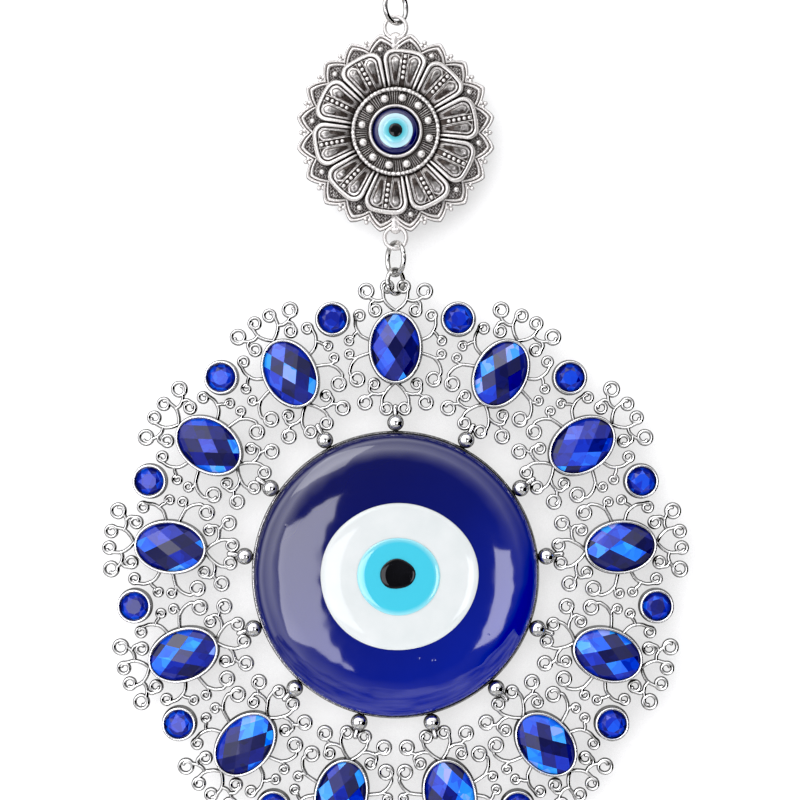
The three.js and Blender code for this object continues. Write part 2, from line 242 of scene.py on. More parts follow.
def around(radius, angle, height, side=0.0):
    """Point at a radius and an angle, moved sideways."""
    c, s = math.cos(angle), math.sin(angle)
    return (radius * c - side * s, radius * s + side * c, height)


def hermite(a, b, way_a, way_b, t):
    """Point at share t of the curve from a to b that leaves along way_a and arrives along way_b."""
    return (
        (2 * t**3 - 3 * t**2 + 1) * a
        + (t**3 - 2 * t**2 + t) * way_a
        + (3 * t**2 - 2 * t**3) * b
        + (t**3 - t**2) * way_b
    )


def curve_through(points, ways, steps):
    """Smooth curve through points, without the last one. ways has the pair of ways for each span."""
    out = []
    for a, b, (way_a, way_b) in zip(points, points[1:], ways):
        out += [hermite(a, b, way_a, way_b, t) for t in np.arange(steps) / steps]
    return out


def rounded(points, steps):
    """A smooth curve through (radius, height) points that doesn't swing out beyond them."""
    points = np.array(points, float)
    chords = np.diff(points, axis=0)
    lengths = np.linalg.norm(chords, axis=1)
    ways = chords / lengths[:, None]
    tangents = np.concatenate([ways[:1], ways[:-1] + ways[1:], ways[-1:]])
    tangents /= np.linalg.norm(tangents, axis=1)[:, None]
    spans = [(a * length, b * length) for a, b, length in zip(tangents, tangents[1:], lengths)]
    return [tuple(p) for p in [*curve_through(points, spans, steps), points[-1]]]


# ----- Filigree -----

WIRE = 0.8
WIRE_BACK = 0.2
WIRE_TOP = 1.3
WIRE_SHOULDER = 0.42  # share of the wire's depth below which its sides are straight
WIRE_END_LEANS = (80, 50, 20)  # degrees round a wire's end where it has a section, from the tip
WIRE_TOP_POINTS = 7
STROKE_LIFT = 0.006  # from one stroke to the next, so that no two faces coincide

# One unit's right half, as (side, out) points from the oval stone's centre. Each stroke is a stem
# that runs into a curl: the stem's points, the curl's centre and radius, the angle on it where the
# stem arrives, and 1 for an anticlockwise curl or -1 for a clockwise one.
STROKES = [
    ([(0.1, 7.9), (1.4, 8.9), (2.45, 10.35)], (1.78, 13.0), 1.17, -30, 1),
    ([(2.35, 10.3), (3.5, 9.95), (4.7, 10.15)], (6.25, 12.05), 1.43, -105, 1),
    ([(4.5, 10.1), (5.3, 9.4)], (4.3, 7.9), 1.13, 15, -1),
    ([(5.4, 1.6), (7.4, 2.6), (8.5, 4.5)], (7.7, 6.85), 1.0, -20, 1),
    ([(8.0, 3.5), (8.7, 2.9)], (9.85, 1.5), 0.83, 125, -1),
    ([(5.4, -1.1), (7.2, -1.7), (8.7, -2.3)], (9.8, -1.4), 0.83, -115, 1),
    ([(8.2, -2.1), (9.3, -3.5), (9.75, -5.2)], (8.15, -6.75), 1.4, 25, -1),
    ([(4.6, -9.95), (5.5, -9.2)], (4.55, -7.7), 1.0, -15, 1),
    ([(2.3, -9.6), (3.5, -9.95), (4.9, -9.85)], (6.5, -11.7), 1.35, 108, -1),
    ([(0.4, -7.6), (1.6, -8.8), (2.75, -10.7)], (1.95, -13.0), 1.17, 30, -1),
]
STEM_STEPS = 7
CURL_STEPS = 40
SMALLEST_CURL = 0.8
CURL_TURNS = 1.02  # of the smallest curl
CURL_EXTRA_TURN = 0.42  # more turn for each millimetre that a curl's radius is over the smallest
CURL_TIGHTENING = 0.5  # share of its radius that a curl's inner end has moved in by
TIGHTENING_START = 0.66  # share of the curl's length where it starts to move in


def curl_points(centre, radius, entry, way):
    """Centreline of a curl, from where its stem arrives to its inner end."""
    share = np.linspace(0, 1, CURL_STEPS)
    turns = CURL_TURNS + CURL_EXTRA_TURN * (radius - SMALLEST_CURL)
    angle = math.radians(entry) + way * TAU * turns * share
    ease = np.clip((share - TIGHTENING_START) / (1 - TIGHTENING_START), 0, 1) ** 1.5
    reach = radius * (1 - CURL_TIGHTENING * ease)
    return np.stack([centre[0] + reach * np.cos(angle), centre[1] + reach * np.sin(angle)], axis=1)


def stem_points(knots, end, end_way):
    """Smooth curve through the knots that meets the curl's first point along its direction."""
    knots = np.array([*knots, end], float)
    tangents = np.gradient(knots, axis=0)
    tangents[-1] = end_way * np.linalg.norm(knots[-1] - knots[-2])
    return curve_through(knots, zip(tangents, tangents[1:]), STEM_STEPS)


def stroke_path(stem, *curl_shape):
    curl = curl_points(*curl_shape)
    arrive = curl[1] - curl[0]
    return np.concatenate([stem_points(stem, curl[0], arrive / np.linalg.norm(arrive)), curl])


def end_sections(point, way, half_width):
    """Sections of a wire's rounded end, from its tip: (point, way, half width, share of its size)."""
    sections = []
    for lean in WIRE_END_LEANS:
        c, s = math.cos(math.radians(lean)), math.sin(math.radians(lean))
        sections.append((point + way * half_width * s, way, half_width * c, c))
    return sections


def swept(path, half_width, back, top):
    """Closed wire with a flat back and a rounded top, with rounded ends."""
    path = np.asarray(path, float)
    ways = np.gradient(path, axis=0)
    ways /= np.linalg.norm(ways, axis=1)[:, None]
    start = [(p, -w, width, share) for p, w, width, share in end_sections(path[0], -ways[0], half_width)]
    middle = [(p, w, half_width, 1.0) for p, w in zip(path, ways)]
    end = end_sections(path[-1], ways[-1], half_width)[::-1]
    depth = top - back
    shoulder = WIRE_SHOULDER * depth
    points = []
    for point, way, width, share in start + middle + end:
        side = np.array([-way[1], way[0]]) * width
        points += [(*(point + side), back), (*(point - side), back)]
        for k in range(WIRE_TOP_POINTS):
            a = math.pi * (1 - k / (WIRE_TOP_POINTS - 1))
            height = shoulder + (depth - shoulder) * math.sin(a)
            points.append((*(point + side * math.cos(a)), back + height * math.sqrt(share)))
    columns = WIRE_TOP_POINTS + 2
    rows = len(points) // columns
    faces = grid_faces(rows, columns)
    faces += [tuple(range(columns)), tuple(reversed(range((rows - 1) * columns, rows * columns)))]
    return np.array(points), faces


def filigree_half():
    parts = []
    for k, stroke in enumerate(STROKES):
        lift = STROKE_LIFT * k
        parts.append(swept(stroke_path(*stroke), WIRE / 2, WIRE_BACK + lift, WIRE_TOP + lift))
    return merged(parts)


# ----- Settings of the ring frame -----

GLUE_GAP = 0.1  # between a stone and its pocket
POCKET_FLOOR = STONE_BOTTOM - GLUE_GAP
BEZEL_WALL = 0.6
BEZEL_HEIGHT = 2.6
BEZEL_LIP_STEPS = 6
BEZEL_FOOT = 0.9  # height below which the wall flares
BEZEL_FLARE = 0.2
SHELF = 0.6  # how far a pocket's shelf reaches in under the stone or the glass
CUP_GAP = 0.3  # from the pocket's wall to the cup that closes its back
SKIN = 0.02  # the cup's faces lie this far inside the shelf's
SEAT_OUTER = 30.55
SEAT_FLOOR = 1.0
SEAT_SPOKES = 208
BALL_CIRCLE = 32.3
BALL_RADIUS = 1.8
NECK_HALF_WIDTH = 0.62
NECK_TOP = 1.5
NECK_POINTS = 12
NECK_END = 12.6  # from the oval stone's centre


def bezel(half_width, half_length, spokes):
    """Pocket for a stone: flared foot, plain wall and rolled lip, with a cup that closes its back."""
    half_width += GLUE_GAP
    half_length += GLUE_GAP
    lip = BEZEL_WALL / 2
    loop = [(0.0, POCKET_FLOOR), (0.0, BEZEL_HEIGHT - lip)]
    for k in range(1, BEZEL_LIP_STEPS):
        a = math.pi * (1 - k / BEZEL_LIP_STEPS)
        loop.append((lip + lip * math.cos(a), BEZEL_HEIGHT - lip + lip * math.sin(a)))
    loop += [(BEZEL_WALL, BEZEL_HEIGHT - lip), (BEZEL_WALL, BEZEL_FOOT)]
    loop += [(BEZEL_WALL + 0.9 * BEZEL_FLARE, BEZEL_FOOT / 2), (BEZEL_WALL + BEZEL_FLARE, 0.0)]
    loop += [(-SHELF, 0.0), (-SHELF, POCKET_FLOOR)]
    cup = oval_plate(half_width - CUP_GAP, half_length - CUP_GAP, SKIN, POCKET_FLOOR - SKIN, spokes)
    return merged([oval_ring(half_width, half_length, loop, spokes), cup])


def setting():
    """One unit, at the ring's top: filigree, oval bezel, and the neck and ball that join the seat."""
    half = filigree_half()
    unit = merged([half, moved(half, mirror=True), bezel(OVAL_HALF[0], OVAL_HALF[1], 72)])
    neck_along = np.linspace(SEAT_OUTER - 0.3, STONE_CIRCLE - NECK_END, NECK_POINTS)
    neck_path = np.stack([np.zeros(NECK_POINTS), neck_along], axis=1)
    neck = swept(neck_path, NECK_HALF_WIDTH, WIRE_BACK, NECK_TOP)
    bead = ball((0, BALL_CIRCLE, BALL_RADIUS), BALL_RADIUS, 20, 32)
    return merged([moved(unit, (0, STONE_CIRCLE, 0)), neck, bead])


def round_cup():
    """A round bezel at the top of the ring."""
    return moved(bezel(ROUND_RADIUS, ROUND_RADIUS, 48), (0, ROUND_CIRCLE, 0))


def glass_seat():
    """Shallow cup with a closed back and a thin rolled rim round the large glass eye."""
    inner = GLASS_RADIUS + 0.08
    shelf = inner - SHELF
    loop = [(inner, SEAT_FLOOR), (inner, 2.3), (inner + 0.1, 2.5), (inner + 0.25, 2.5)]
    loop += [(SEAT_OUTER, 2.2), (SEAT_OUTER, 0.15), (SEAT_OUTER - 0.15, 0.0)]
    loop += [(shelf, 0.0), (shelf, SEAT_FLOOR)]
    back_edge = shelf + 0.1
    back_top = SEAT_FLOOR + 0.1
    back = dome([(0, 0.0), (back_edge, 0.0), (back_edge, back_top), (0, back_top)], SEAT_SPOKES)
    return merged([turned_ring(loop, SEAT_SPOKES), back])


# ----- Stones -----

GIRDLE_POINTS = 72
FACET_HALF_WIDTH = 1.67
FACET_HALF_LENGTH = 2.6
FACET_DROP = 0.24  # how far the middle of the first facet off the centre lies below the stone's top
FACET_REACH = 4  # facets from the middle to the last that the girdle could cut
ON_GIRDLE = 0.995  # an edge with a greater girdle_share lies on the girdle
HIDDEN_TONE = 0.2  # of the faces down in the bezel
WELD = 0.01 * MM


def clipped(polygon, outline):
    """A convex polygon cut to the inside of a convex anticlockwise outline."""
    for a, b in zip(outline, np.roll(outline, -1, axis=0)):
        inside = [(b[0] - a[0]) * (p[1] - a[1]) - (b[1] - a[1]) * (p[0] - a[0]) for p in polygon]
        kept = []
        for k, p in enumerate(polygon):
            n = (k + 1) % len(polygon)
            if inside[k] >= 0:
                kept.append(p)
            if inside[k] * inside[n] < 0:
                q = polygon[n]
                share = inside[k] / (inside[k] - inside[n])
                kept.append((p[0] + (q[0] - p[0]) * share, p[1] + (q[1] - p[1]) * share))
        polygon = kept
        if len(polygon) < 3:
            return []
    return polygon


def facet_height(i, j, x, y):
    """Height at (x, y) of the plane of facet (i, j), which touches a low dome at its middle."""
    a = x / FACET_HALF_WIDTH - i
    b = y / FACET_HALF_LENGTH - j
    return OVAL_TOP - FACET_DROP * (i * i + j * j + 2 * (i * a + j * b))


def girdle_share(p, q):
    """Where the middle of an edge lies: 0 at the stone's middle, 1 on its girdle."""
    x, y = (p[0] + q[0]) / 2, (p[1] + q[1]) / 2
    return (x / OVAL_HALF[0]) ** 2 + (y / OVAL_HALF[1]) ** 2


def checkerboard_stone(rng):
    """Oval stone of rhombic facets on a low dome, cut off at the girdle, with a painted reflection level for
    each face.
    """
    angles = TAU * np.arange(GIRDLE_POINTS) / GIRDLE_POINTS
    outline = np.stack([OVAL_HALF[0] * np.cos(angles), OVAL_HALF[1] * np.sin(angles)], axis=1)
    reach = range(-FACET_REACH, FACET_REACH + 1)
    points, faces, reflection_levels = [], [], []
    for i, j in [(i, j) for i in reach for j in reach if (i + j) % 2 == 0]:
        corners = [(i + 1, j), (i, j + 1), (i - 1, j), (i, j - 1)]
        facet = clipped([(a * FACET_HALF_WIDTH, b * FACET_HALF_LENGTH) for a, b in corners], outline)
        if not facet:
            continue
        count = len(facet)
        top = len(points)
        low = top + count
        points += [(x, y, facet_height(i, j, x, y)) for x, y in facet]
        points += [(x, y, STONE_BOTTOM) for x, y in facet]
        faces += [tuple(range(top, low)), tuple(reversed(range(low, low + count)))]
        reflection_levels += [rng.random() ** 1.4, HIDDEN_TONE]
        for k in range(count):
            n = (k + 1) % count
            if girdle_share(facet[k], facet[n]) > ON_GIRDLE:
                faces.append((top + k, low + k, low + n, top + n))
                reflection_levels.append(HIDDEN_TONE)
    return (np.array(points), faces), reflection_levels


def round_stone(rng):
    """Round stone with an octagonal table, star facets and kite facets, as a convex hull."""
    girdle = STONE_BOTTOM + 0.7
    crown_waist = girdle + 0.66 * (ROUND_TOP - girdle)
    rings = [  # share of the radius, height, number of corners, and turn in steps
        (1.0, STONE_BOTTOM, 16, 0.5),
        (1.0, girdle, 16, 0.5),
        (0.8, crown_waist, 8, 0.5),
        (0.56, ROUND_TOP, 8, 0.0),
    ]
    hull = bmesh.new()
    for share, z, count, turn in rings:
        for k in range(count):
            hull.verts.new(around(ROUND_RADIUS * share, TAU * (k + turn) / count, z))
    bmesh.ops.convex_hull(hull, input=hull.verts)
    bmesh.ops.dissolve_limit(hull, angle_limit=math.radians(1), verts=hull.verts, edges=hull.edges)
    hull.verts.index_update()
    points = np.array([tuple(v.co) for v in hull.verts])
    faces = [tuple(v.index for v in f.verts) for f in hull.faces]
    hull.free()
    # Each face gets a random painted reflection level.
    return (points, faces), [0.2 + 0.5 * rng.random() for _ in faces]


def stone_piece(name, stone, circle, turn, node):
    """A stone at its place on the ring, with each face's painted reflection level."""
    part, reflection_levels = stone
    in_place = moved(moved(part, (0, circle, 0)), turn=turn)
    obj = piece(name, in_place, "frame", sapphire, node, smooth=False)
    reflection_level = obj.data.attributes.new("facet_reflection_level", "FLOAT", "FACE")
    reflection_level.data.foreach_set("value", reflection_levels)
    clean_mesh(obj.data, WELD)


# ----- Reliefs of the medallion -----

ADDED_WEAR = 0.8  # of the balls, granules and eyelets set on a relief
BACK_WEAR = 0.3


def bump(distance, half_width):
    """1 on a ridge's line, falling to 0 at half_width."""
    return np.clip(1 - (distance / half_width) ** 2, 0, 1)


def step_up(x, low, high):
    t = np.clip((x - low) / (high - low), 0, 1)
    return t * t * (3 - 2 * t)


def polar_solid(angle, radius, height, bottom, closed_middle):
    """Closed solid under a polar height field (rings x spokes), down to a flat bottom."""
    rings, spokes = radius.shape
    x, y = radius * np.cos(angle), radius * np.sin(angle)
    levels = [np.stack([x, y, height], axis=2).reshape(-1, 3)]
    for ring in [-1] if closed_middle else [-1, 0]:
        levels.append(np.stack([x[ring], y[ring], np.full(spokes, bottom)], axis=1))
    points = np.concatenate(levels)
    faces = grid_faces(len(points) // spokes, spokes, closed=not closed_middle)
    if closed_middle:
        faces += [tuple(reversed(range(spokes))), tuple(range(rings * spokes, len(points)))]
    return points, faces


def relief_piece(name, relief, wear, added, node):
    """A medallion layer in antique silver: a relief with the parts set on it.

    Its wear attribute says how polished each point is: the relief's top as given, then its sides
    and back, then the added parts.
    """
    whole = moved(merged([relief, *added]), (0, MEDALLION_Y, 0))
    obj = piece(name, whole, "medallion", antique_silver, node, crease=RELIEF_CREASE)
    values = np.full(len(obj.data.vertices), ADDED_WEAR, np.float32)
    values[: len(relief[0])] = BACK_WEAR
    values[: wear.size] = np.clip(wear, 0, 1).ravel()
    attribute = obj.data.attributes.new("wear", "FLOAT", "POINT")
    attribute.data.foreach_set("value", values)


# Star plate

STAR_PETALS = 20
STAR_TIP = 21.3
STAR_VALLEY = 18.9
STAR_MIDDLE = 6.0  # radius inside which the plate is plain, under the flower
STAR_TOP = 1.02
OUTER_RIDGE = 0.32  # distance in from the edge
INNER_RIDGE = 1.15
INNER_RIDGE_HALF = 0.34
FIELD_EDGE = (1.45, 1.8)  # distance in from the edge where the grained field starts
EYELET_CIRCLE = 22.4
EYELET_HOLE = 1.9
EYELET_RIM = 2.75
EYELET_THICK = 1.2
EYELET_NECK_HALF = 1.25
EYELET_NECK_START = 17.5
GRANULE = 0.5
TREFOIL = ((20.15, 0.0), (19.4, 0.45), (19.4, -0.45))  # radius and side of its granules


def star_plate():
    """Twenty pointed petals, each with two nested ridges round a grained field. Part and wear."""
    spokes, rings = 1440, 60
    angle = TAU * np.arange(spokes) / spokes
    sector = TAU / STAR_PETALS
    across = np.abs((angle + sector - math.pi / 2) % sector / sector * 2 - 1)
    outline = STAR_VALLEY + (STAR_TIP - STAR_VALLEY) * (1 - across**1.35)
    share = np.linspace(0, 1, rings)[:, None] ** 0.45
    radius = STAR_MIDDLE + (outline - STAR_MIDDLE) * share
    edge = (outline - radius) * 0.85
    outer = bump(edge - OUTER_RIDGE, OUTER_RIDGE)
    inner = bump(edge - INNER_RIDGE, INNER_RIDGE_HALF)
    field = step_up(edge, *FIELD_EDGE)
    x, y = radius * np.cos(angle), radius * np.sin(angle)
    grain = np.sin(x * 9.1 + np.sin(y * 7.3)) * np.sin(y * 8.3 + np.sin(x * 6.1))
    height = STAR_TOP + 0.26 * outer + 0.32 * inner + 0.07 * grain * field - 0.25 * bump(edge, 0.12)
    wear = 0.05 + 0.95 * (outer**0.4 + inner**0.4) + 0.32 * field * (0.7 + 0.6 * grain)
    return polar_solid(angle, radius, height, 0.0, True), wear


def eyelet(end):
    """A ring of round section with the neck that joins it to the plate; end is 1 at the top."""
    middle = (EYELET_HOLE + EYELET_RIM) / 2
    half = (EYELET_RIM - EYELET_HOLE) / 2
    lift = EYELET_THICK / 2
    loop = [(middle + half * math.cos(a), lift + lift * math.sin(a)) for a in TAU * np.arange(12) / 12]
    ring = moved(turned_ring(loop, 56), (0, end * EYELET_CIRCLE, 0))
    low, high = sorted((end * EYELET_NECK_START, end * (EYELET_CIRCLE - EYELET_HOLE - 0.2)))
    path = np.stack([np.zeros(10), np.linspace(low, high, 10)], axis=1)
    return merged([ring, swept(path, EYELET_NECK_HALF, 0.0, EYELET_THICK)])


def trefoils():
    """Three granules in every valley of the star, except where the eyelets are."""
    parts = []
    for k in range(STAR_PETALS):
        a = math.pi / 2 + TAU * k / STAR_PETALS
        if abs(math.cos(a)) > 0.01:
            parts += [ball(around(radius, a, 0.85, side), GRANULE, 6, 10) for radius, side in TREFOIL]
    return merged(parts)


# Flower cap

FLOWER_PETALS = 10
FLOWER_TURN = math.radians(10.5)
FLOWER_OUTER = 17.75
FLOWER_INNER = 9.5
FLOWER_NOTCH = 15.9  # radius of the notch between two petals
PETAL_GAP = 0.1
PETAL_CORNER = 2.9
STRIP_HALF = 0.82  # half the width of the beaded strip between a petal's two cells
STRIP_LINE = 0.68  # its thin edging
BEADS_FROM, BEADS_TO = 10.9, 16.5
BEAD_STEP = 1.12
BEAD_HALF = 0.47
DENTS = 900
DENT_DEPTH = 0.09


def petal_distance(radius, phi):
    """Distance inside a petal's outline: straight sides, a nearly flat outer end and round corners."""
    side = radius * np.sin(math.pi / FLOWER_PETALS - np.abs(phi)) - PETAL_GAP
    end = FLOWER_OUTER - 0.03 * (radius * np.sin(phi)) ** 2 - radius * np.cos(phi)
    cut = np.hypot(np.maximum(PETAL_CORNER - side, 0), np.maximum(PETAL_CORNER - end, 0))
    return np.where(cut > 0, PETAL_CORNER - cut, np.minimum(side, end))


def petal_outline(phi):
    """Outer radius of the flower at each angle, found by halving."""
    low, high = np.full(len(phi), 12.0), np.full(len(phi), FLOWER_OUTER + 0.4)
    for _ in range(30):
        middle = (low + high) / 2
        inside = petal_distance(middle, phi) > 0
        low, high = np.where(inside, middle, low), np.where(inside, high, middle)
    return np.maximum(low, FLOWER_NOTCH)


def petal_swell(run):
    """How far a petal is puffed up, by its share of the way out; lower, but not flat, at its inner end."""
    arch = (1 - np.abs(2 * run - 1) ** 2.6) ** 0.6
    return np.where(run < 0.5, 0.45 + 0.55 * arch, arch)


def hammered(x, y, rng):
    """Sum of shallow round dents at random places over the flower's square."""
    field = np.zeros_like(x)
    for _ in range(DENTS):
        cx, cy = rng.uniform(-FLOWER_OUTER, FLOWER_OUTER), rng.uniform(-FLOWER_OUTER, FLOWER_OUTER)
        near = (x - cx) ** 2 + (y - cy) ** 2
        field -= DENT_DEPTH * np.exp(-near / (2 * rng.uniform(0.2, 0.4) ** 2))
    return field


def flower(rng):
    """Ten puffed petals, each with a thick rim, two hammered cells and a beaded strip. Part and wear."""
    spokes, rings = 1000, 84
    angle = TAU * np.arange(spokes) / spokes
    sector = TAU / FLOWER_PETALS
    phi = (angle - FLOWER_TURN + sector / 2) % sector - sector / 2
    share = np.linspace(0, 1, rings)[:, None] ** 0.85
    radius = FLOWER_INNER + (petal_outline(phi) - FLOWER_INNER) * share
    phi = np.broadcast_to(phi, radius.shape)
    edge = petal_distance(radius, phi)
    across = np.abs(radius * np.sin(phi))
    along = radius * np.cos(phi)
    run = np.clip((radius - FLOWER_INNER) / (FLOWER_OUTER - FLOWER_INNER), 0, 1)

    rim_half = 0.36 + 0.19 * run
    rim = bump(edge - rim_half, rim_half)
    inside = step_up(edge, 2 * rim_half, 2 * rim_half + 0.1)
    second_rim = bump(edge - 2 * rim_half - 0.3, 0.15) * inside

    from_strip = across - STRIP_HALF
    from_rim = edge - 2 * rim_half - 0.42
    rounding = 0.3 * np.clip(1.2 - np.abs(from_strip - from_rim), 0, 2) ** 2
    cell = np.minimum(from_strip, from_rim) - rounding
    crown = step_up(cell, 0.0, 0.7)
    edging = bump(cell - 0.1, 0.16) * inside
    x, y = radius * np.cos(angle), radius * np.sin(angle)
    dents = hammered(x, y, rng) * step_up(cell, 0.2, 0.5)

    strip_line = bump(across - STRIP_LINE, 0.17) * inside
    in_row = (along > BEADS_FROM) & (along < BEADS_TO)
    from_bead = (along - BEADS_FROM) % BEAD_STEP - BEAD_STEP / 2
    bead = bump(np.hypot(across, from_bead), BEAD_HALF) ** 0.5 * in_row

    room = FLOWER_HIGH[2] - FLOWER_LOW[2] - 1.35
    height = FLOWER_LOW[2] + 0.25 + room * petal_swell(run)
    height += 0.6 * rim**0.6 + 0.22 * second_rim + 0.1 * edging + 0.36 * crown
    height += 0.4 * strip_line + 0.5 * bead + dents
    height -= 0.9 * (1 - step_up(edge, -0.12, 0.1))
    height = np.maximum(height, FLOWER_LOW[2] + 0.12)

    wear = 0.04 + 0.95 * rim**0.5 + 0.5 * second_rim + 0.5 * edging + crown * (0.12 + 0.6 * run**1.5)
    wear += 0.75 * strip_line + 0.9 * bead
    wear = wear * step_up(edge, -0.06, 0.06) + 1.6 * dents
    wear *= 0.45 + 0.55 * step_up(run, 0.02, 0.3)
    return polar_solid(angle, radius, height, FLOWER_LOW[2], False), wear


def petal_balls():
    """One ball between every two petals' outer ends."""
    turns = [FLOWER_TURN + TAU * (k + 0.5) / FLOWER_PETALS for k in range(FLOWER_PETALS)]
    height = FLOWER_LOW[2] + 0.45
    return merged([ball(around(FLOWER_OUTER, a, height), 0.62, 10, 16) for a in turns])


# Rosette

ROSETTE_RADIUS = 9.55
ROSETTE_FLOOR = 0.8
SMALL_BEZEL_CIRCLE = 5.35
BEADED_RIM_CIRCLE = 9.02
STRIPES = 96
GRAINS = 62
ROSETTE_BALLS = 12
ROSETTE_BALL_CIRCLE = 7.25
ROSETTE_BALL_LIFT = 1.25
ROSETTE_BALL_TURN = math.radians(3.7)


def rosette(rng):
    """Granulated rim, striped channel with balls, and the small eye's bezel. Part, wear and balls."""
    spokes, rings = 1080, 80
    shape = (rings, spokes)
    angle = np.broadcast_to(TAU * np.arange(spokes) / spokes, shape)
    radius = np.broadcast_to(np.linspace(1.0, ROSETTE_RADIUS, rings)[:, None], shape)
    bezel_line = bump(radius - SMALL_BEZEL_CIRCLE, 0.5)
    channel = step_up(radius, 5.9, 6.15) * (1 - step_up(radius, 8.35, 8.6))
    stripes = np.sin(angle * STRIPES + 0.8 * np.sin(angle * 7))
    rim_line = bump(radius - BEADED_RIM_CIRCLE, 0.56)
    grains = 0.5 + 0.5 * np.sin(angle * GRAINS + 0.9 * np.sin(angle * 11 + 1))
    grains = grains * (0.72 + 0.28 * np.sin((radius - 8.5) * 9 + 1.5 * np.sin(angle * 23)))
    height = ROSETTE_BOTTOM + ROSETTE_FLOOR + 1.75 * np.sqrt(bezel_line) + 0.1 * channel * stripes
    height += (1.0 + 0.32 * grains) * np.sqrt(rim_line)
    wear = 0.05 + channel * (0.27 + 0.15 * stripes) + 0.95 * np.sqrt(bezel_line)
    wear += (0.45 + 0.8 * grains) * np.sqrt(rim_line)
    balls = []
    for k in range(ROSETTE_BALLS):
        a = ROSETTE_BALL_TURN + TAU * (k + 0.5) / ROSETTE_BALLS
        place = around(ROSETTE_BALL_CIRCLE, a, ROSETTE_BOTTOM + ROSETTE_BALL_LIFT)
        balls.append(ball(place, rng.uniform(0.86, 0.95), 12, 18))
    return polar_solid(angle[0], radius, height, ROSETTE_BOTTOM, False), wear, balls


# ----- Glass -----

LAYER_STEPS = 24
LAYER_EDGE = 6.0  # how far the rounding of a layer's edge reaches in, against its height


def glass_layer(node, lobes, spokes=128, fill=1.0):
    """A thin, slightly domed layer of glass with a soft edge, filling a share of its node's width."""
    low, high = face_box(node)
    middle = (low + high) / 2
    half = fill * (high - low) / 2
    rise = high[2] - low[2]
    lean = np.linspace(0, math.pi / 2, LAYER_STEPS)
    radii = np.cos(lean) ** (LAYER_EDGE * rise / half[0])
    profile = [(0.0, low[2]), *zip(radii, low[2] + rise * np.sin(lean))]
    return moved(dome(profile, spokes, half[0], half[1], lobes), (middle[0], middle[1], 0))


def cobalt_disc():
    """The large eye's disc: a small foot, a rounded side and a dome that flattens to the middle."""
    low, top = GLASS_LOW[2], GLASS_HIGH[2]
    r = GLASS_RADIUS
    profile = [(0, low), (r - 1.3, low), (r - 0.35, low + 0.55), (r, low + 1.6), (r - 0.45, low + 2.75)]
    profile += [(r - 2.2, low + 3.95), (r - 6, low + 5.05), (r - 12, top - 0.12), (8, top), (0, top)]
    return dome(rounded(profile, 6), 160, lobes=[(2, 0.002, 0.4), (3, 0.0015, 2.0)])


def small_dome():
    """The small eye's dark base: a short straight side and a low dome."""
    low, top = (corner[2] for corner in face_box("small_eye_base"))
    r = half_size("small_eye_base")[0]
    profile = [(0, low), (r, low), (r, low + 1.0), (r - 0.22, low + 1.5), (r - 0.9, top - 0.08)]
    profile += [(2.5, top), (0, top)]
    return moved(dome(rounded(profile, 5), 96), (0, MEDALLION_Y, 0))


# ----- Links -----

CUT_HALF_WIDTH = 0.25
CUT_DEPTH = 0.25  # share of the wire's radius


def jump_ring(node, outer, thickness, turn, cut):
    """A ring of round wire, turned about y. Its cut shows as a fine groove at the angle cut."""
    spokes, columns = 96, 18
    wire = thickness / 2
    radius = outer / 2 - wire
    points = []
    for k in range(spokes):
        a = TAU * k / spokes
        from_cut = abs((a - cut + math.pi) % TAU - math.pi) * radius
        here = wire * (1 - CUT_DEPTH * max(0.0, 1 - from_cut / CUT_HALF_WIDTH))
        for m in range(columns):
            b = TAU * m / columns
            points.append(around(radius + here * math.cos(b), a, here * math.sin(b)))
    c, s = math.cos(turn), math.sin(turn)
    turned = np.array(points) @ np.array([[c, 0, -s], [0, 1, 0], [s, 0, c]])
    return turned + centre_of(node), grid_faces(spokes, columns, closed=True)


# ----- Node trees -----


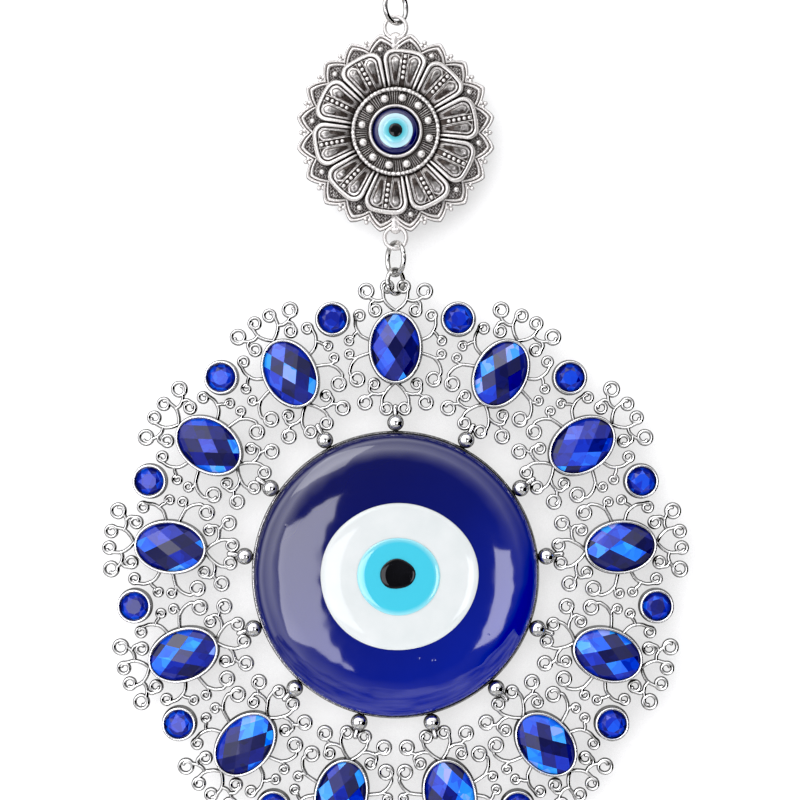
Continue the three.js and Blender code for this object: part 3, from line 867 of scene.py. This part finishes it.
class Nodes:
    """A material's or a world's node tree. Its methods add nodes and return their output."""

    def __init__(self, owner):
        owner.use_nodes = True
        self.tree = owner.node_tree
        self.shader = self.tree.nodes.get("Principled BSDF")

    def add(self, kind, inputs=(), **settings):
        """A new node. inputs maps names or numbers to values or to other nodes' outputs."""
        node = self.tree.nodes.new(kind)
        for key, value in settings.items():
            setattr(node, key, value)
        for key, value in dict(inputs).items():
            self.feed(node.inputs[key], value)
        return node

    def feed(self, socket, value):
        if isinstance(value, bpy.types.NodeSocket):
            self.tree.links.new(value, socket)
        else:
            socket.default_value = value

    def surface(self, **inputs):
        """Feeds the main shader's inputs; an underscore stands for a space."""
        for key, value in inputs.items():
            self.feed(self.shader.inputs[key.replace("_", " ")], value)

    def position(self):
        return self.add("ShaderNodeTexCoord").outputs["Object"]

    def attribute(self, name):
        return self.add("ShaderNodeAttribute", attribute_name=name).outputs["Fac"]

    def noise(self, scale, detail):
        inputs = {"Vector": self.position(), "Scale": scale, "Detail": detail, "Roughness": 0.55}
        return self.add("ShaderNodeTexNoise", inputs).outputs["Fac"]

    def cells(self, scale):
        """Uneven cells: the distance from a cell's middle, and a random share for each cell."""
        node = self.add("ShaderNodeTexVoronoi", {"Vector": self.position(), "Scale": scale})
        split = self.add("ShaderNodeSeparateColor", {"Color": node.outputs["Color"]})
        return node.outputs["Distance"], split.outputs["Red"]

    def ramp(self, factor, stops):
        node = self.add("ShaderNodeValToRGB", {"Fac": factor})
        elements = node.color_ramp.elements
        while len(elements) < len(stops):
            elements.new(0.5)
        for element, (place, color) in zip(elements, stops):
            element.position = place
            element.color = (*color, 1)
        return node.outputs["Color"]

    def remap(self, value, old=(0.0, 1.0), new=(0.0, 1.0)):
        """The range old turned into new, with what lies beyond cut off."""
        inputs = {"Value": value, "From Min": old[0], "From Max": old[1]}
        inputs.update({"To Min": new[0], "To Max": new[1]})
        return self.add("ShaderNodeMapRange", inputs).outputs["Result"]

    def math(self, operation, a, b=0.0, clamp=True):
        return self.add("ShaderNodeMath", {0: a, 1: b}, operation=operation, use_clamp=clamp).outputs[0]

    def product(self, a, b):
        return self.math("MULTIPLY", a, b)

    def vector(self, operation, a, b=(0, 0, 0), output="Vector"):
        return self.add("ShaderNodeVectorMath", {0: a, 1: b}, operation=operation).outputs[output]

    def along_y(self, direction):
        """The Y share of a direction, whichever way it points."""
        split = self.add("ShaderNodeSeparateXYZ", {0: direction})
        return self.math("ABSOLUTE", split.outputs["Y"])

    def painted_side_shade(self, low, high, floor):
        """1 where the surface faces the front or the back, floor where it faces sideways: a factor that
        paints shade on the sides.
        """
        normal = self.add("ShaderNodeTexCoord").outputs["Normal"]
        return self.remap(self.along_y(normal), (low, high), (floor, 1.0))

    def openness(self, distance, samples=6, way=None):
        """0 deep in a corner, 1 in the open, on the side of the normal or of a given way."""
        inputs = {"Distance": distance}
        if way:
            inputs["Normal"] = self.add("ShaderNodeCombineXYZ", enumerate(way)).outputs[0]
        return self.add("ShaderNodeAmbientOcclusion", inputs, samples=samples).outputs["AO"]

    def bump_map(self, height, distance, strength):
        inputs = {"Height": height, "Distance": distance, "Strength": strength}
        self.surface(Normal=self.add("ShaderNodeBump", inputs).outputs["Normal"])

    def glow(self, color, strength):
        return self.add("ShaderNodeEmission", {"Color": (*color, 1), "Strength": strength}).outputs[0]

    def mixed(self, factor, first, second):
        return self.add("ShaderNodeMixShader", {0: factor, 1: first, 2: second}).outputs[0]

    def is_ray(self, kind):
        return self.add("ShaderNodeLightPath").outputs[f"Is {kind} Ray"]

    def backfacing(self):
        return self.add("ShaderNodeNewGeometry").outputs["Backfacing"]


# ----- Materials -----


def new_material(name):
    """A new material and its node tree."""
    material = bpy.data.materials.new(name)
    return material, Nodes(material)


def silver_finish(n, shade, dark_until, bright, dark, mottling, roughness, metallic):
    """Metal coloured by its shade, from dark to bright ridges, with a fine uneven skin. Dark is painted
    shade, but patina in antique hollows.
    """
    middle = tuple((a + b) / 2.4 for a, b in zip(bright, dark))
    middle_at = 0.5 + 0.2 * dark_until
    n.surface(Base_Color=n.ramp(shade, [(dark_until, dark), (middle_at, middle), (0.85, bright)]))
    n.surface(Metallic=metallic, Roughness=n.remap(mottling, new=(roughness * 0.7, roughness * 1.4)))
    n.bump_map(n.noise(2600, 2), 0.00003, 0.6)


def plated_silver(name, bright, dark, reach, roughness, paint_side_shade):
    """Smooth plated metal with painted shade in its hollows and, when asked, painted shade where it faces
    sideways.
    """
    material, n = new_material(name)
    # Painted shade: darker in hollows and between nearby parts.
    shade = n.openness(reach)
    # Painted shade on faces that turn sideways, for dark outlines on wires and rims.
    if paint_side_shade:
        shade = n.product(shade, n.painted_side_shade(0.2, 0.8, 0.12))
    mottling = n.noise(900, 4)
    shade = n.product(shade, n.remap(mottling, new=(0.8, 1.15)))
    silver_finish(n, shade, 0.0, bright, dark, mottling, roughness, 1.0)
    return material


def antique_silver_material():
    """Darkened cast metal, rubbed bright as the mesh's wear attribute says, with painted shade where it faces
    sideways.
    """
    bright, dark = (1.0, 0.965, 0.94), (0.038, 0.028, 0.023)
    material, n = new_material("antique_silver")
    shade = n.product(n.remap(n.openness(0.0009), new=(0.35, 1.0)), n.product(n.attribute("wear"), 1.3))
    # Painted shade on faces that turn sideways; the darkening in hollows above is the metal's patina.
    shade = n.product(shade, n.painted_side_shade(0.15, 0.65, 0.45))
    mottling = n.noise(2000, 4)
    shade = n.product(shade, n.remap(mottling, new=(0.7, 1.45)))
    silver_finish(n, shade, 0.25, bright, dark, mottling, 0.24, 0.65)
    return material


def opaque_glass(name, color, second, roughness=0.06, gloss=1.0):
    """Opaque fused glass under a clear gloss, with faint streaks and an uneven skin."""
    material, n = new_material(name)
    n.surface(Base_Color=n.ramp(n.noise(160, 3), [(0.35, color), (0.7, second)]))
    n.surface(Roughness=roughness, Specular_IOR_Level=0.5 * gloss, IOR=1.5)
    n.surface(Coat_Weight=gloss, Coat_Roughness=0.03)
    n.bump_map(n.noise(420, 2), 0.00004, 0.35)
    return material


def turquoise_glass(name, node, color, outer, start):
    """Glass of a round layer whose colour fades to a paler one from a share of its radius outwards."""
    material, n = new_material(name)
    centre, half = centre_of(node) * MM, half_size(node) * MM
    from_centre = n.vector("SUBTRACT", n.position(), (centre[0], -centre[2], centre[1]))
    as_shares = n.vector("DIVIDE", from_centre, (half[0], 1.0, half[1]))
    reach = n.vector("LENGTH", as_shares, output="Value")
    n.surface(Base_Color=n.ramp(reach, [(start, color), (1.0, outer)]))
    n.surface(Roughness=0.06, Coat_Weight=1.0, Coat_Roughness=0.03)
    return material


def cobalt_material():
    """Deep navy glass with painted light: a clearer blue towards the lower right, where light through it is
    painted in, and a glow of its colour.
    """
    material, n = new_material("cobalt_glass")
    reach = GLASS_RADIUS * MM
    # Painted light: clearer blue towards the lower right; the noise adds the glass's own streaks.
    lower_right = n.vector("DOT_PRODUCT", n.position(), (0.7, 0.0, -1.0), "Value")
    across = n.remap(lower_right, old=(-reach, reach))
    mix = n.math("ADD", n.product(across, 0.8), n.product(n.noise(45, 2), 0.3))
    stops = [(0.15, (0.0005, 0.002, 0.075)), (0.5, (0.0005, 0.004, 0.12)), (0.9, (0.001, 0.009, 0.24))]
    color = n.ramp(mix, stops)
    # The glow is painted light.
    n.surface(Base_Color=color, Emission_Color=color, Emission_Strength=0.14)
    n.surface(Roughness=0.07, Specular_IOR_Level=0.95)
    distance, share = n.cells(260)
    spots = n.ramp(distance, [(0.06, (1, 1, 1)), (0.12, (0, 0, 0))])
    pits = n.product(spots, n.math("LESS_THAN", share, 0.25))
    waves = n.product(n.noise(75, 2), 0.8)
    n.bump_map(n.math("SUBTRACT", waves, n.product(pits, 0.12)), 0.0006, 0.5)
    return material


def sapphire_material():
    """Foil-backed faceted blue stone with painted reflections: each facet has its own painted level, broken
    up by painted reflections inside, and it glows.
    """
    material, n = new_material("sapphire_stone")
    # Painted reflections: each facet's random level and small random cells stand for light reflected inside
    # the stone; the blue hues are its own.
    painted_glints = n.cells(520)[1]
    mix = n.math("ADD", n.product(n.attribute("facet_reflection_level"), 0.85), n.product(painted_glints, 0.14))
    stops = [
        (0.12, (0.001, 0.002, 0.05)),
        (0.38, (0.001, 0.006, 0.2)),
        (0.58, (0.002, 0.025, 0.48)),
        (0.74, (0.003, 0.11, 0.8)),
        (0.86, (0.02, 0.32, 1.0)),
        (0.95, (0.3, 0.33, 0.85)),
    ]
    color = n.ramp(mix, stops)
    # Painted light: the stone glows with its own colour.
    n.surface(Base_Color=color, Emission_Color=color, Emission_Strength=0.25)
    n.surface(Roughness=0.2, Specular_IOR_Level=0.3, Coat_Weight=0.45, Coat_Roughness=0.02)
    return material


# The dark colour of each plated silver is the colour of its painted shade.
bright_silver = plated_silver("bright_silver", (0.92, 0.915, 0.905), (0.06, 0.058, 0.056), 0.0014, 0.16, True)
link_wire = plated_silver("link_wire", (0.8, 0.79, 0.77), (0.12, 0.11, 0.1), 0.001, 0.2, False)
antique_silver = antique_silver_material()
cobalt = cobalt_material()
sapphire = sapphire_material()
white_glass = opaque_glass("white_glass", (0.7, 0.74, 0.74), (0.75, 0.78, 0.78), 0.1, 0.5)
pale_glass = opaque_glass("pale_blue_glass", (0.42, 0.74, 0.86), (0.6, 0.85, 0.93))
black_glass = opaque_glass("black_glass", (0.003, 0.003, 0.004), (0.006, 0.006, 0.008), 0.05, 0.3)
turquoise = turquoise_glass(
    "turquoise_glass", "glass_eye_iris", (0.06, 0.58, 0.76), (0.34, 0.76, 0.84), 0.86
)
small_turquoise = turquoise_glass(
    "small_turquoise_glass", "small_eye_iris", (0.10, 0.55, 0.66), (0.35, 0.75, 0.85), 0.6
)


# ----- Assembly -----


def build_ring():
    piece("glass_seat", glass_seat(), "frame", bright_silver, "ring_frame")
    unit, cup = setting(), round_cup()
    for k in range(UNITS):
        turn = -k * UNIT_STEP
        half_turn = turn - UNIT_STEP / 2
        tag = f"{k + 1:02d}"
        piece(f"setting_{tag}", moved(unit, turn=turn), "frame", bright_silver, "ring_frame")
        piece(f"round_bezel_{tag}", moved(cup, turn=half_turn), "frame", bright_silver, "ring_frame")
        rng = random.Random(100 + k)
        stone_piece(f"oval_gem_{tag}", checkerboard_stone(rng), STONE_CIRCLE, turn, f"oval_stone_{tag}")
        stone_piece(f"round_gem_{tag}", round_stone(rng), ROUND_CIRCLE, half_turn, f"round_stone_{tag}")


def build_glass():
    piece("eye_disc", cobalt_disc(), "frame", cobalt, "glass_eye_base")
    layers = [
        ("eye_white", "glass_eye_white", white_glass, [(2, 0.006, 0.5), (3, 0.006, 1.1), (5, 0.003, 0.3)]),
        ("eye_iris", "glass_eye_iris", turquoise, [(2, 0.008, 2.0), (3, 0.006, 0.2)]),
        ("eye_pupil", "glass_eye_pupil", black_glass, [(2, 0.02, 1.0), (3, 0.03, 2.4), (5, 0.01, 0.0)]),
    ]
    for name, node, material, lobes in layers:
        piece(name, glass_layer(node, lobes), "frame", material, node)


def build_medallion():
    rng = random.Random(7)
    relief_piece("star_plate", *star_plate(), [trefoils(), eyelet(1), eyelet(-1)], "medallion_plate")
    relief_piece("flower_cap", *flower(rng), [petal_balls()], "medallion_flower")
    relief_piece("rosette_cap", *rosette(rng), "medallion_rosette")
    piece("small_eye_disc", small_dome(), "medallion", cobalt, "small_eye_base")
    layers = [
        ("small_eye_ring", "small_eye_white", pale_glass, 0.96),
        ("small_eye_center", "small_eye_iris", small_turquoise, 0.96),
        ("small_eye_dot", "small_eye_pupil", black_glass, 0.84),
    ]
    for name, node, material, fill in layers:
        piece(name, glass_layer(node, [(3, 0.004, 0.4)], 96, fill), "medallion", material, node)


def build_links():
    links = [  # name, node, body, outer width, wire, and degrees of its turn and of its cut
        ("hanging_loop", "hanging_ring", "hanging_ring", 8.0, 1.1, 50, 80),
        ("upper_link_wire", "upper_jump_ring", "upper_link", 8.0, 1.1, -60, 15),
        ("lower_link_wire", "lower_jump_ring", "lower_link", 6.2, 1.0, 50, 200),
    ]
    for name, node, body, outer, thickness, turn, cut in links:
        ring = jump_ring(node, outer, thickness, math.radians(turn), math.radians(cut))
        piece(name, ring, body, link_wire, node)


# ----- Stage, light and camera, in metres -----

STAGE_HALF = 0.6
BACKDROP_GAP = 0.16  # from the ornament's back
FLOOR_GAP = 0.3  # below the ornament
SHADOW_GAP = 0.0012
SHADOW_HALF = 0.16
SHADOW_EXTRA = 0.04  # more height above the ring's centre than below it
WINDOW_TINT = (0.94, 0.93, 1.0)
CAMERA_DISTANCE = 0.45
CAMERA_SIDE = 0.00095
CAMERA_HEIGHT = 0.0371
WIDTH_SEEN = 0.1708
SENSOR_MM = 36


def one_sided(name, color, strength):
    """Pale glowing paper that is clear from behind, so that it never hides the ornament's back.

    Reflections show soft bright and dark bands in its place, which give the metal its contrast.
    """
    material, n = new_material(name)
    n.tree.nodes.clear()
    output = n.add("ShaderNodeOutputMaterial")
    diffuse = n.add("ShaderNodeBsdfDiffuse", {"Color": (*color, 1)}).outputs[0]
    paper = n.add("ShaderNodeAddShader", {0: diffuse, 1: n.glow(color, strength)}).outputs[0]
    bands = n.add("ShaderNodeTexNoise", {"Vector": n.position(), "Scale": 9.0}).outputs["Fac"]
    mirrored = n.glow((1, 1, 1), n.remap(bands, (0.35, 0.65), (0.08, 0.8)))
    front = n.mixed(n.is_ray("Glossy"), paper, mirrored)
    clear = n.add("ShaderNodeBsdfTransparent").outputs[0]
    n.feed(output.inputs["Surface"], n.mixed(n.backfacing(), front, clear))
    return material


def shadow_material():
    """Clear sheet, darker where the ornament shades it, but not before a part that swung through it."""
    material, n = new_material("soft_shadow")
    n.tree.nodes.clear()
    output = n.add("ShaderNodeOutputMaterial")
    lit = n.openness(0.02, samples=12, way=(-0.55, -0.65, 0.55))
    clear_behind = n.openness(0.15, samples=12, way=(0.0, 1.0, 0.0))
    amount = n.product(n.remap(lit, (1.0, 0.35), (0.0, 0.75)), n.remap(clear_behind, (0.93, 1.0)))
    seen = n.math("SUBTRACT", n.is_ray("Camera"), n.backfacing())
    grazing = n.add("ShaderNodeLayerWeight", {"Blend": 0.2}).outputs["Facing"]
    factor = n.product(n.math("SUBTRACT", seen, grazing), amount)
    clear = n.add("ShaderNodeBsdfTransparent").outputs[0]
    n.feed(output.inputs["Surface"], n.mixed(factor, clear, n.glow((0.40, 0.395, 0.39), 1.0)))
    return material


def flat_sheet(name, corners, material):
    mesh = bpy.data.meshes.new(name)
    mesh.from_pydata(corners, [], [(0, 1, 2, 3)])
    mesh.materials.append(material)
    linked(name, mesh)


def upright(half, y, extra=0.0):
    """Corners of a square that faces the camera, with extra height at its top."""
    return [(-half, y, -half), (half, y, -half), (half, y, half + extra), (-half, y, half + extra)]


def build_stage():
    back = cad_high.y + BACKDROP_GAP
    backdrop_paper = one_sided("backdrop_paper", (0.96, 0.96, 0.965), 0.36)
    flat_sheet("backdrop", upright(STAGE_HALF, back), backdrop_paper)
    ground = cad_low.z - FLOOR_GAP
    floor_paper = one_sided("floor_paper", (0.93, 0.93, 0.935), 0.2)
    corners = [(-STAGE_HALF, -STAGE_HALF), (STAGE_HALF, -STAGE_HALF), (STAGE_HALF, back), (-STAGE_HALF, back)]
    flat_sheet("floor", [(x, y, ground) for x, y in corners], floor_paper)
    sheet = upright(SHADOW_HALF, cad_high.y + SHADOW_GAP, SHADOW_EXTRA)
    flat_sheet("shadow_sheet", sheet, shadow_material())


def build_world():
    """White to the camera. Reflections see rings of light ahead and behind, and dark sides."""
    world = bpy.data.worlds.new("studio")
    bpy.context.scene.world = world
    n = Nodes(world)
    n.tree.nodes.clear()
    output = n.add("ShaderNodeOutputWorld")
    way = n.add("ShaderNodeTexCoord").outputs["Generated"]
    rings = [(0.0, 0.05), (0.18, 0.08), (0.33, 0.45), (0.48, 0.9), (0.65, 0.55), (0.84, 1.0), (0.98, 0.05)]
    stops = [(place, (value, value, value * 1.03)) for place, value in rings]
    color = n.ramp(n.remap(n.along_y(way), (0.0, 0.95)), stops)
    upper_left = n.vector("DOT_PRODUCT", way, (-1.5, 0.0, 1.6), "Value")
    strength = n.math("ADD", upper_left, 1.2, clamp=False)
    studio = n.add("ShaderNodeBackground", {"Color": color, "Strength": strength}).outputs[0]
    plain = n.remap(n.is_ray("Camera"), new=(0.75, 1.0))
    white = n.add("ShaderNodeBackground", {"Color": (1, 1, 1, 1), "Strength": plain}).outputs[0]
    n.feed(output.inputs["Surface"], n.mixed(n.is_ray("Glossy"), white, studio))


def area_light(name, place, target, size, watts, color=(1, 1, 1)):
    data = bpy.data.lights.new(name, "AREA")
    data.shape = "RECTANGLE"
    data.size, data.size_y = size
    data.energy = watts
    data.color = color
    obj = linked(name, data)
    obj.location = place
    obj.rotation_euler = (Vector(target) - Vector(place)).to_track_quat("-Z", "Y").to_euler()


def build_light():
    """A key light from the upper left, and two windows that the large glass eye reflects."""
    area_light("key", (-0.3, -0.5, 0.45), (0, 0, 0.03), (0.35, 0.35), 0.9)
    area_light("left_window", (-0.17, -0.5, -0.06), (0, 0, 0), (0.2, 0.26), 0.6, WINDOW_TINT)
    area_light("right_window", (0.21, -0.5, -0.085), (0, 0, 0), (0.12, 0.2), 0.32, WINDOW_TINT)


def build_camera():
    """Straight on, level with a point between the medallion and the ring's centre."""
    data = bpy.data.cameras.new("camera")
    data.sensor_width = SENSOR_MM
    data.lens = SENSOR_MM * CAMERA_DISTANCE / WIDTH_SEEN
    obj = linked("camera", data)
    obj.location = (CAMERA_SIDE, -CAMERA_DISTANCE, CAMERA_HEIGHT)
    obj.rotation_euler = (math.pi / 2, 0, 0)
    bpy.context.scene.camera = obj


build_ring()
build_glass()
build_medallion()
build_links()
build_stage()
build_world()
build_light()
build_camera()
bpy.context.scene.view_settings.view_transform = "Standard"
